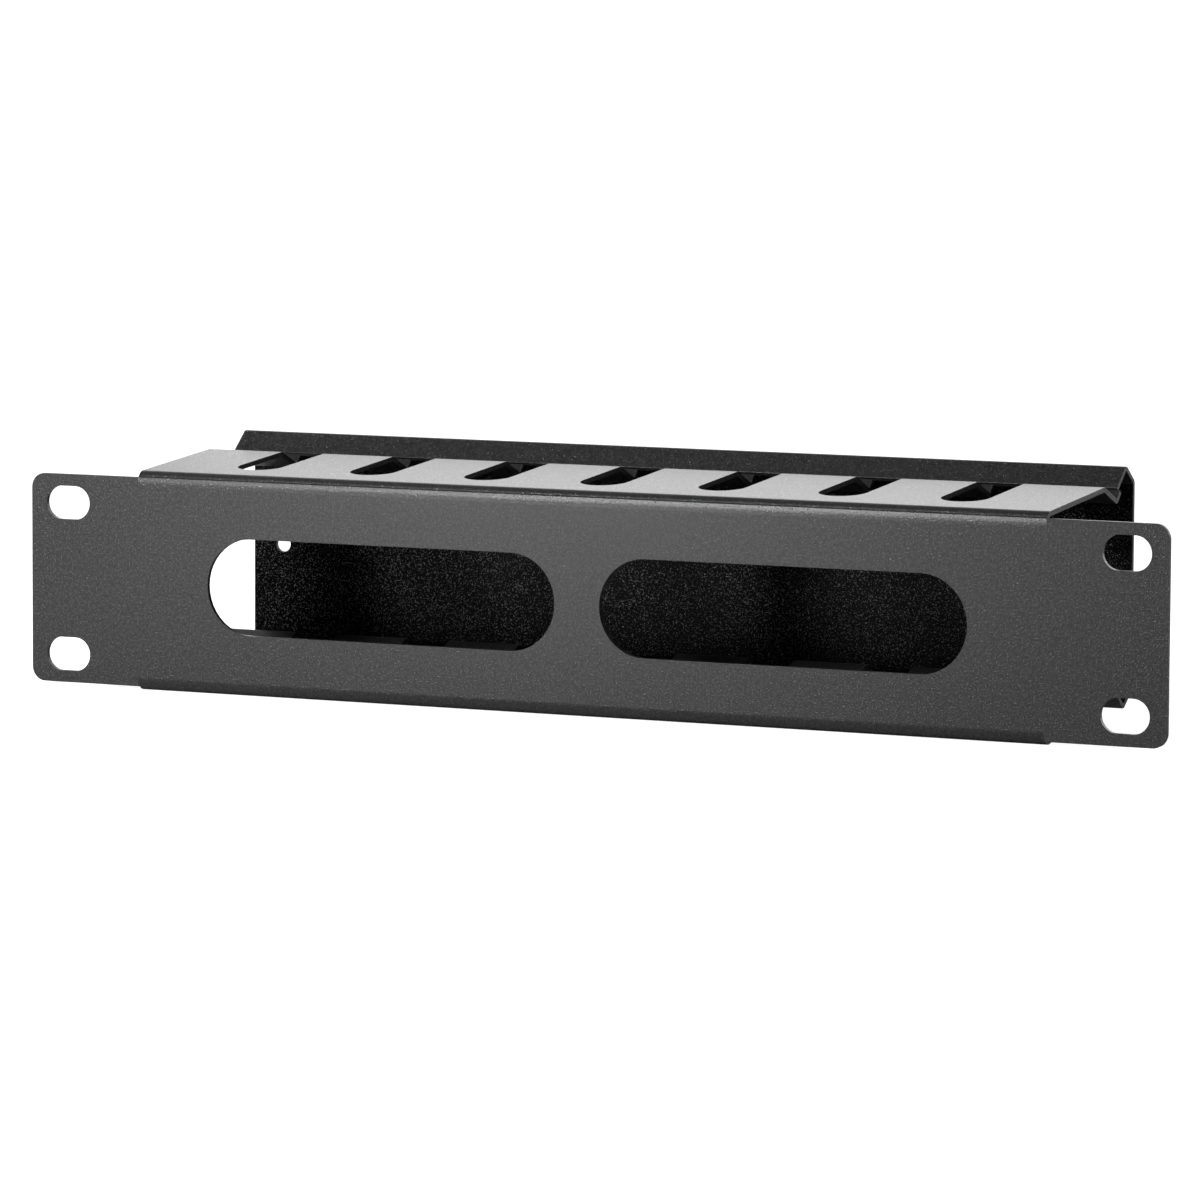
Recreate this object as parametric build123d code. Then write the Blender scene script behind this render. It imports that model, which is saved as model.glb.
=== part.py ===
from build123d import *
import os
from math import atan2, sin

# Horizontal cable manager for a ten-inch rack, one unit high.
# It is two folded sheets of steel: a front panel whose upper and lower flanges are
# combed into fingers, and a cover that clips over the finger tips at the rear.
# Millimetres. X runs across the rack, Y from the front face to the rear, Z up.
# The origin is the middle of the front face, on the four screw slots' centre.

# Panel sheet and rack ears
panel_sheet = 1.0
panel_width = 254.0
panel_height = 43.7
ear_length = 25.5
ear_corner_radius = 3.0
screw_from_end = 8.7375
screw_from_edge = 5.975
screw_slot_length = 10.3
screw_slot_height = 7.0

# Cable windows through the front
window_length = 80.0
window_height = 20.0
window_bridge = 10.0

# Flanges, from the front bend to the crest where each finger's hook starts
bend_past_ears = 1.2
front_bend_radius = 1.3
crest_depth = 30.6
crest_above_groove = 2.9

# Hooks at the finger tips. The duct leans up to the rear, so the two rows of hooks
# lie about a middle height above the panel's own.
hook_middle_height = 4.5
hook_groove_span = 35.7
hook_groove_depth = 37.4
hook_tip_reach = 1.8
hook_tip_rise = 1.9
hook_bend_radius = 0.3

# Finger gaps, cut through both flanges
gap_count = 7
gap_pitch = 26.4
gap_width = 10.0
gap_front = 7.8

# Cover sheet, whose heights are measured from the hooks' grooves
cover_sheet = 1.0
cover_end_inset = 0.9
cover_depth = 49.5
cover_clearance = 0.3
lip_above_tip = 0.3
cover_ridge_setback = 4.9
cover_ridge_above_groove = 6.8
cover_wall_below_ridge = 3.2
cover_bend_radius = 0.4
hang_hole_radius = 1.7
hang_hole_inset = 7.0

# What follows from those
flange_length_x = panel_width - 2 * ear_length
screw_pitch_x = panel_width - 2 * screw_from_end
screw_pitch_z = panel_height - 2 * screw_from_edge
cover_length = flange_length_x - 2 * cover_end_inset


def folded_sheet(points, inner_radii, sheet, length):
    # A sheet of even thickness along a mid-line of (y, z) corners, centred on X.
    mid_radii = [radius + sheet / 2 for radius in inner_radii]
    path = FilletPolyline(*points, radius=mid_radii)
    section = Plane.YZ * trace(path, line_width=sheet)
    return extrude(section, amount=length / 2, both=True)


def through_hole(outline, x, z, depth):
    # A hole of the given outline along Y, at (x, z), past both sides of a sheet.
    plane = Plane(origin=(x, 0, z), x_dir=(1, 0, 0), z_dir=(0, -1, 0))
    return extrude(plane * outline, amount=depth, both=True)


def hook_line(side):
    # Mid-line corners of one finger's hook: tip, groove, crest. side is 1 or -1.
    groove_z = hook_middle_height + side * hook_groove_span / 2
    tip = (hook_groove_depth + hook_tip_reach, groove_z + side * hook_tip_rise)
    groove = (hook_groove_depth, groove_z)
    crest = (crest_depth, groove_z + side * crest_above_groove)
    return [tip, groove, crest]


def finger_gap(side):
    # A gap with a round front end, from above or below through one flange.
    radius = gap_width / 2
    rear = hook_groove_depth + 3 * hook_tip_reach
    start = gap_front + radius
    plane = Plane(origin=(0, 0, hook_middle_height))
    straight = Pos(0, (start + rear) / 2) * Rectangle(gap_width, rear - start)
    outline = plane * (straight + Pos(0, start) * Circle(radius))
    return extrude(outline, amount=side * panel_height)


def finger_panel():
    mid = panel_sheet / 2
    bend_z = panel_height / 2 + bend_past_ears - mid
    upper = hook_line(1)
    lower = hook_line(-1)
    lower.reverse()
    corners = upper + [(mid, bend_z), (mid, -bend_z)] + lower
    hook_radii = [hook_bend_radius, hook_bend_radius]
    radii = hook_radii + [front_bend_radius, front_bend_radius] + hook_radii
    body = folded_sheet(corners, radii, panel_sheet, flange_length_x)

    face_plane = Plane(origin=(0, 0, 0), x_dir=(1, 0, 0), z_dir=(0, -1, 0))
    plate = face_plane * RectangleRounded(panel_width, panel_height, ear_corner_radius)
    body += extrude(plate, amount=-panel_sheet)

    window = SlotOverall(window_length, window_height)
    window_x = (window_length + window_bridge) / 2
    for x in (-window_x, window_x):
        body -= through_hole(window, x, 0, 2 * panel_sheet)

    screw_slot = SlotOverall(screw_slot_length, screw_slot_height)
    for x in (-screw_pitch_x / 2, screw_pitch_x / 2):
        for z in (-screw_pitch_z / 2, screw_pitch_z / 2):
            body -= through_hole(screw_slot, x, z, 2 * panel_sheet)

    for side in (1, -1):
        cutter = finger_gap(side)
        for place in range(gap_count):
            x = (place - (gap_count - 1) / 2) * gap_pitch
            body -= Pos(x, 0, 0) * cutter
    return body


def clip_on_cover():
    mid = cover_sheet / 2
    wall_y = cover_depth - mid
    ridge_y = cover_depth - cover_ridge_setback
    tip_y, tip_z = hook_line(1)[0]
    # The lip's mid-line ends just behind the finger tip's rear corner and above it.
    leg_angle = atan2(hook_tip_rise, hook_tip_reach)
    tip_corner_y = tip_y + sin(leg_angle) * panel_sheet / 2
    lip_z = tip_z + lip_above_tip - hook_middle_height
    ridge_z = hook_groove_span / 2 + cover_ridge_above_groove - mid
    wall_z = ridge_z - cover_wall_below_ridge
    lip_y = tip_corner_y + cover_clearance
    lip = (lip_y, lip_z)
    ridge = (ridge_y, ridge_z)
    wall = (wall_y, wall_z)
    half = [lip, ridge, wall]
    other = [(y, -z) for y, z in reversed(half)]
    corners = [(y, z + hook_middle_height) for y, z in half + other]
    radii = [cover_bend_radius] * 4
    body = folded_sheet(corners, radii, cover_sheet, cover_length)

    hole_x = cover_length / 2 - hang_hole_inset
    for x in (-hole_x, hole_x):
        plane = Plane(origin=(x, wall_y, hook_middle_height), x_dir=(1, 0, 0), z_dir=(0, -1, 0))
        hole = extrude(plane * Circle(hang_hole_radius), amount=2 * cover_sheet, both=True)
        body -= hole
    return body


os.makedirs("parts", exist_ok=True)
for name, make in (("finger_panel", finger_panel), ("rear_cover", clip_on_cover)):
    shape = make()
    shape.label = name
    export_step(shape, f"parts/{name}.step")
    print(name, "volume", round(shape.volume / 1000, 2), "cm3", "solids", len(shape.solids()))
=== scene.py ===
import math

import bpy
from mathutils import Matrix, Vector


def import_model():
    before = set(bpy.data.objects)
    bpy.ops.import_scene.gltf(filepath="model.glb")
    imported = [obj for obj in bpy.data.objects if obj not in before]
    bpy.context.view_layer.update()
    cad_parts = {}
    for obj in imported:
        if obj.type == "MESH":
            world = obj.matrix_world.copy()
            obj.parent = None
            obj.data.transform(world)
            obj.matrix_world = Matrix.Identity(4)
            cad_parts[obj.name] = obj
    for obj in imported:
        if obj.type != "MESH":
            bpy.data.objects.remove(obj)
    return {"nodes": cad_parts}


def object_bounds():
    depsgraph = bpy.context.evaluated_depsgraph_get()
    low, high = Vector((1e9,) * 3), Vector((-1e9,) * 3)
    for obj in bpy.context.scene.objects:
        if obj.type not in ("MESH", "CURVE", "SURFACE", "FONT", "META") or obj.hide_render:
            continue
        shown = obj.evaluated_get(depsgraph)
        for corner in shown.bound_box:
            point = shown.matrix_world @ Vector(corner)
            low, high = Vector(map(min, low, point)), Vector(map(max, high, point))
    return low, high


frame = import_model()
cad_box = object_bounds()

# The looks of a horizontal cable manager: a finger panel and its rear cover, two folded
# sheets under a black powder coat, in a white studio. Metres.

MM = 0.001

# Camera, from the rack's standard sizes as they lie in the photograph, which is square
PHOTO_PIXELS = 1200
FOCAL_PIXELS = 6538.0
SENSOR_WIDTH = 36.0
CAMERA_PLACE = Vector((574.5, -1176.4, 131.1)) * MM
CAMERA_YAW = math.radians(25.823)
CAMERA_PITCH = math.radians(5.670)
CAMERA_ROLL = math.radians(0.297)
CLIP_NEAR = 0.05
CLIP_FAR = 100

# Powder coat: its colour, and its patches' size, tones and noise range
COAT_COLOUR = (0.018, 0.018, 0.0184)
PATCH_SIZE = 0.9 * MM
PATCH_DARK = 0.8
PATCH_PALE = 1.25
PATCH_NOISE = (0.35, 0.65)
# Its slow waviness
WAVE_SIZE = 6.0 * MM
WAVE_HEIGHT = 0.05 * MM
WAVE_STRENGTH = 0.25
# Its pebbles: size, height, and the noise values where one starts and where it is full
PANEL_PEBBLES = (0.38 * MM, 0.032 * MM, (0.52, 0.76))
COVER_PEBBLES = (0.3 * MM, 0.045 * MM, (0.56, 0.7))
FLAT_SHEEN = 0.29
PEBBLE_SHEEN = 0.8
FLAT_ROUGHNESS = 0.33
PEBBLE_ROUGHNESS = 0.24
# How level a face is where its pebbles start to lie flatter and where they are
# flattest, and the share of their relief that is left there
LEVEL_FACING = (0.75, 0.95)
LEVEL_RELIEF = 0.25
# The cover's wall inside the duct, where shade is painted in: the direction that tells it
# from other faces, the share of colour and of the flats' sheen that it keeps, and its
# pebbles' sheen
INNER_FACING = -0.95
INNER_PAINTED_SHADE = 0.1
INNER_PEBBLE_SHEEN = 0.9
# How finely the noises are broken up
PEBBLE_DETAIL = 2.0
SOFT_DETAIL = 1.0

# The rounding of the sheets' cut edges
WELD_DISTANCE = 0.002 * MM
FLAT_ANGLE = math.radians(1.0)
EDGE_ROUND = 0.22 * MM
EDGE_STEPS = 2
EDGE_ANGLE = math.radians(70)
NORMAL_WEIGHT = 50

# The front bends: where the plate's normals start to lean, the ears' edge, the slope
# that the upper and the lower round have there, how near to the front face a point
# has to be, and the end of the flanges
LEAN_START = 19.9 * MM
LEAN_END = 21.85 * MM
LEAN_TOP = 0.5
LEAN_BOTTOM = 0.8
FRONT_FACE = 0.02 * MM
FLANGE_HALF = 101.5 * MM

# Floor
FLOOR_SPAN = 60.0
FLOOR_COLOUR = (0.7, 0.7, 0.7, 1.0)
FLOOR_ROUGHNESS = 0.9
FLOOR_GLOW = 0.85

# Studio: the light from the front and the rear, the share that the ceiling gives, and
# the directions between which each changes
STUDIO_FRONT = 0.13
STUDIO_REAR = 1.3
STUDIO_CEILING = 0.12
REAR_FACING = (-0.1, 0.5)
CEILING_FACING = (0.45, 0.75)
# Softboxes, all aimed at the origin: place, width, height, power
AIM = Vector((0, 0, 0))
SOFTBOXES = {
    "rear_wall": ((0.14, 1.5, 0.45), 2.4, 0.8, 7.8),
    "front_high": ((-0.31, -0.56, 0.46), 0.15, 0.36, 7),
    "front_low": ((-0.244, -0.5, 0.045), 0.12, 0.1, 0.85),
}

WHITE = (1, 1, 1, 1)
# The whole range of a share
WHOLE = (0.0, 1.0)


def node(tree, kind, **values):
    # A node with some inputs and settings filled in.
    made = tree.nodes.new(kind)
    for name, value in values.items():
        if name in made.inputs:
            made.inputs[name].default_value = value
        else:
            setattr(made, name, value)
    return made


def noise(tree, place, size, detail):
    made = node(tree, "ShaderNodeTexNoise", Scale=1 / size, Detail=detail)
    tree.links.new(place, made.inputs["Vector"])
    return made.outputs["Fac"]


def spread(tree, value, source, target):
    # The value carried over from one range to another, and held inside it.
    made = node(tree, "ShaderNodeMapRange")
    made.inputs["From Min"].default_value = source[0]
    made.inputs["From Max"].default_value = source[1]
    made.inputs["To Min"].default_value = target[0]
    made.inputs["To Max"].default_value = target[1]
    tree.links.new(value, made.inputs["Value"])
    return made.outputs["Result"]


def calculate(tree, kind, *values):
    # A Math node's result, from other nodes' outputs and plain numbers.
    made = node(tree, "ShaderNodeMath", operation=kind)
    for index, value in enumerate(values):
        if isinstance(value, bpy.types.NodeSocket):
            tree.links.new(value, made.inputs[index])
        else:
            made.inputs[index].default_value = value
    return made.outputs[0]


def split(tree, vector):
    parts = tree.nodes.new("ShaderNodeSeparateXYZ")
    tree.links.new(vector, parts.inputs[0])
    return parts.outputs


def turn(tree, vector, kind, start, end):
    turned = node(tree, "ShaderNodeVectorTransform", vector_type=kind)
    turned.convert_from = start
    turned.convert_to = end
    tree.links.new(vector, turned.inputs[0])
    return turned.outputs[0]


def camera_sees(tree, seen, others, out):
    # The camera meets one shader, and every other ray meets the other one.
    rays = tree.nodes.new("ShaderNodeLightPath")
    mix = tree.nodes.new("ShaderNodeMixShader")
    tree.links.new(rays.outputs["Is Camera Ray"], mix.inputs["Fac"])
    tree.links.new(others, mix.inputs[1])
    tree.links.new(seen, mix.inputs[2])
    tree.links.new(mix.outputs[0], out.inputs["Surface"])


def bend_normal(tree, place):
    # The plate's flat front reaches a little past the start of both bends. Its
    # normals lean there as a round bend's do, between the two ears.
    parts = split(tree, place)
    up = spread(tree, parts["Z"], (LEAN_START, LEAN_END), (0.0, LEAN_TOP))
    down = spread(tree, parts["Z"], (-LEAN_END, -LEAN_START), (LEAN_BOTTOM, 0.0))
    lean = calculate(tree, "SUBTRACT", up, down)
    front = calculate(tree, "LESS_THAN", parts["Y"], FRONT_FACE)
    side = calculate(tree, "ABSOLUTE", parts["X"])
    between = calculate(tree, "LESS_THAN", side, FLANGE_HALF)
    where = calculate(tree, "MULTIPLY", front, between)
    added = tree.nodes.new("ShaderNodeCombineXYZ")
    tree.links.new(calculate(tree, "MULTIPLY", lean, where), added.inputs["Z"])
    turned = turn(tree, added.outputs[0], "VECTOR", "OBJECT", "WORLD")
    surface = tree.nodes.new("ShaderNodeNewGeometry")
    total = node(tree, "ShaderNodeVectorMath", operation="ADD")
    tree.links.new(surface.outputs["Normal"], total.inputs[0])
    tree.links.new(turned, total.inputs[1])
    unit = node(tree, "ShaderNodeVectorMath", operation="NORMALIZE")
    tree.links.new(total.outputs[0], unit.inputs[0])
    return unit.outputs[0]


def own_normal(tree):
    # The surface's own direction, in the object's axes, without the bump.
    surface = tree.nodes.new("ShaderNodeNewGeometry")
    turned = turn(tree, surface.outputs["True Normal"], "NORMAL", "WORLD", "OBJECT")
    return split(tree, turned)


def toned(share):
    return tuple(share * part for part in COAT_COLOUR) + (1.0,)


def powder_coat(name, pebble, bends=False, duct_wall_shade=False):
    # A fine-textured black powder coat: dull flats, glossier pebbles standing on
    # them, patches a little darker and paler, and a slow waviness.
    material = bpy.data.materials.new(name)
    material.use_nodes = True
    tree = material.node_tree
    shader = tree.nodes["Principled BSDF"]
    place = tree.nodes.new("ShaderNodeTexCoord").outputs["Object"]
    facing = own_normal(tree)

    size, height, pebble_noise = pebble
    grain = noise(tree, place, size, PEBBLE_DETAIL)
    specks = noise(tree, place, PATCH_SIZE, SOFT_DETAIL)
    wave = noise(tree, place, WAVE_SIZE, SOFT_DETAIL)
    pebbles = spread(tree, grain, pebble_noise, WHOLE)
    patches = spread(tree, specks, PATCH_NOISE, WHOLE)

    tone = node(tree, "ShaderNodeMix", data_type="RGBA")
    tone.inputs["A"].default_value = toned(PATCH_DARK)
    tone.inputs["B"].default_value = toned(PATCH_PALE)
    tree.links.new(patches, tone.inputs["Factor"])
    colour = tone.outputs["Result"]
    sheen = node(tree, "ShaderNodeMix", data_type="FLOAT")
    sheen.inputs["A"].default_value = FLAT_SHEEN
    sheen.inputs["B"].default_value = PEBBLE_SHEEN
    tree.links.new(pebbles, sheen.inputs["Factor"])
    if duct_wall_shade:
        # Painted shade: inside the duct the wall's colour and its flats' sheen are
        # darkened where it faces the front, where shade falls.
        shaded_inside = calculate(tree, "LESS_THAN", facing["Y"], INNER_FACING)
        share = spread(tree, shaded_inside, WHOLE, (1.0, INNER_PAINTED_SHADE))
        painted_shade = node(tree, "ShaderNodeVectorMath", operation="SCALE")
        tree.links.new(colour, painted_shade.inputs[0])
        tree.links.new(share, painted_shade.inputs["Scale"])
        colour = painted_shade.outputs[0]
        flat_sheen = calculate(tree, "MULTIPLY", share, FLAT_SHEEN)
        tree.links.new(flat_sheen, sheen.inputs["A"])
        pebble_sheen = spread(tree, shaded_inside, WHOLE, (PEBBLE_SHEEN, INNER_PEBBLE_SHEEN))
        tree.links.new(pebble_sheen, sheen.inputs["B"])
    tree.links.new(colour, shader.inputs["Base Color"])
    tree.links.new(sheen.outputs["Result"], shader.inputs["Specular IOR Level"])
    rough = spread(tree, pebbles, WHOLE, (FLAT_ROUGHNESS, PEBBLE_ROUGHNESS))
    tree.links.new(rough, shader.inputs["Roughness"])

    slow = node(tree, "ShaderNodeBump", Strength=WAVE_STRENGTH, Distance=WAVE_HEIGHT)
    tree.links.new(wave, slow.inputs["Height"])
    if bends:
        tree.links.new(bend_normal(tree, place), slow.inputs["Normal"])
    # The pebbles lie flatter on what faces up or down.
    level = calculate(tree, "ABSOLUTE", facing["Z"])
    strength = spread(tree, level, LEVEL_FACING, (1.0, LEVEL_RELIEF))
    relief = node(tree, "ShaderNodeBump", Distance=height)
    tree.links.new(strength, relief.inputs["Strength"])
    tree.links.new(pebbles, relief.inputs["Height"])
    tree.links.new(slow.outputs["Normal"], relief.inputs["Normal"])
    tree.links.new(relief.outputs["Normal"], shader.inputs["Normal"])
    return material


def coat(name, material):
    # The coat rounds the sheet's cut edges a little.
    piece = frame["nodes"][name]
    piece.data.materials.clear()
    piece.data.materials.append(material)
    weld = piece.modifiers.new("weld", "WELD")
    weld.merge_threshold = WELD_DISTANCE
    # Slivers between the holes would fold over in the rounding.
    flats = piece.modifiers.new("flats", "DECIMATE")
    flats.decimate_type = "DISSOLVE"
    flats.angle_limit = FLAT_ANGLE
    rounding = piece.modifiers.new("rounding", "BEVEL")
    rounding.width = EDGE_ROUND
    rounding.segments = EDGE_STEPS
    rounding.limit_method = "ANGLE"
    rounding.angle_limit = EDGE_ANGLE
    rounding.face_strength_mode = "FSTR_ALL"
    # The welded and rounded mesh needs its normals worked out anew. The sheet's own
    # faces set them, not the rounding between.
    normals = piece.modifiers.new("normals", "WEIGHTED_NORMAL")
    normals.mode = "FACE_AREA"
    normals.weight = NORMAL_WEIGHT
    normals.keep_sharp = False
    normals.use_face_influence = True


def add_object(name, data):
    made = bpy.data.objects.new(name, data)
    bpy.context.scene.collection.objects.link(made)
    return made


def camera():
    lens = bpy.data.cameras.new("camera")
    lens.sensor_width = SENSOR_WIDTH
    lens.lens = FOCAL_PIXELS / PHOTO_PIXELS * SENSOR_WIDTH
    lens.clip_start = CLIP_NEAR
    lens.clip_end = CLIP_FAR
    made = add_object("camera", lens)
    sight = Vector((
        -math.sin(CAMERA_YAW) * math.cos(CAMERA_PITCH),
        math.cos(CAMERA_YAW) * math.cos(CAMERA_PITCH),
        -math.sin(CAMERA_PITCH),
    ))
    level = Vector((math.cos(CAMERA_YAW), math.sin(CAMERA_YAW), 0.0))
    upright = level.cross(sight)
    right = math.cos(CAMERA_ROLL) * level + math.sin(CAMERA_ROLL) * upright
    up = math.cos(CAMERA_ROLL) * upright - math.sin(CAMERA_ROLL) * level
    axes = Matrix((right, up, -sight)).transposed()
    made.matrix_world = Matrix.Translation(CAMERA_PLACE) @ axes.to_4x4()
    bpy.context.scene.camera = made


def world():
    # A studio with a white wall behind the object, a dim front and a dark ceiling.
    # Only the camera sees it white all round.
    made = bpy.data.worlds.new("studio")
    bpy.context.scene.world = made
    made.use_nodes = True
    tree = made.node_tree
    tree.nodes.clear()
    out = tree.nodes.new("ShaderNodeOutputWorld")
    direction = tree.nodes.new("ShaderNodeTexCoord").outputs["Generated"]
    parts = split(tree, direction)
    rear = spread(tree, parts["Y"], REAR_FACING, (STUDIO_FRONT, STUDIO_REAR))
    ceiling = spread(tree, parts["Z"], CEILING_FACING, (1.0, STUDIO_CEILING))
    lit = node(tree, "ShaderNodeBackground", Color=WHITE)
    strength = calculate(tree, "MULTIPLY", rear, ceiling)
    tree.links.new(strength, lit.inputs["Strength"])
    seen = node(tree, "ShaderNodeBackground", Color=WHITE, Strength=1.0)
    camera_sees(tree, seen.outputs[0], lit.outputs[0], out)


def floor(level):
    # The floor is white to the camera and still takes the shadow.
    mesh = bpy.data.meshes.new("floor")
    half = FLOOR_SPAN / 2
    corners = [
        (-half, -half, level),
        (half, -half, level),
        (half, half, level),
        (-half, half, level),
    ]
    mesh.from_pydata(corners, [], [(0, 1, 2, 3)])
    made = add_object("floor", mesh)
    material = bpy.data.materials.new("pale_floor")
    material.use_nodes = True
    tree = material.node_tree
    shader = tree.nodes["Principled BSDF"]
    shader.inputs["Base Color"].default_value = FLOOR_COLOUR
    shader.inputs["Roughness"].default_value = FLOOR_ROUGHNESS
    shader.inputs["Specular IOR Level"].default_value = 0.0
    glow = node(tree, "ShaderNodeEmission", Color=WHITE, Strength=FLOOR_GLOW)
    both = tree.nodes.new("ShaderNodeAddShader")
    tree.links.new(shader.outputs[0], both.inputs[0])
    tree.links.new(glow.outputs[0], both.inputs[1])
    out = tree.nodes["Material Output"]
    camera_sees(tree, both.outputs[0], shader.outputs[0], out)
    made.data.materials.append(material)


def softbox(name, place, width, height, power):
    light = bpy.data.lights.new(name, "AREA")
    light.shape = "RECTANGLE"
    light.size = width
    light.size_y = height
    light.energy = power
    made = add_object(name, light)
    made.location = place
    made.rotation_mode = "QUATERNION"
    made.rotation_quaternion = (AIM - Vector(place)).to_track_quat("-Z", "Y")
    made.visible_camera = False


coat("finger_panel", powder_coat("coat_panel", PANEL_PEBBLES, bends=True))
# The cover's coat gets painted shade on its wall inside the duct.
coat("rear_cover", powder_coat("coat_cover", COVER_PEBBLES, duct_wall_shade=True))
camera()
world()
floor(cad_box[0].z)
for name, values in SOFTBOXES.items():
    softbox(name, *values)

bpy.context.scene.view_settings.view_transform = "Standard"
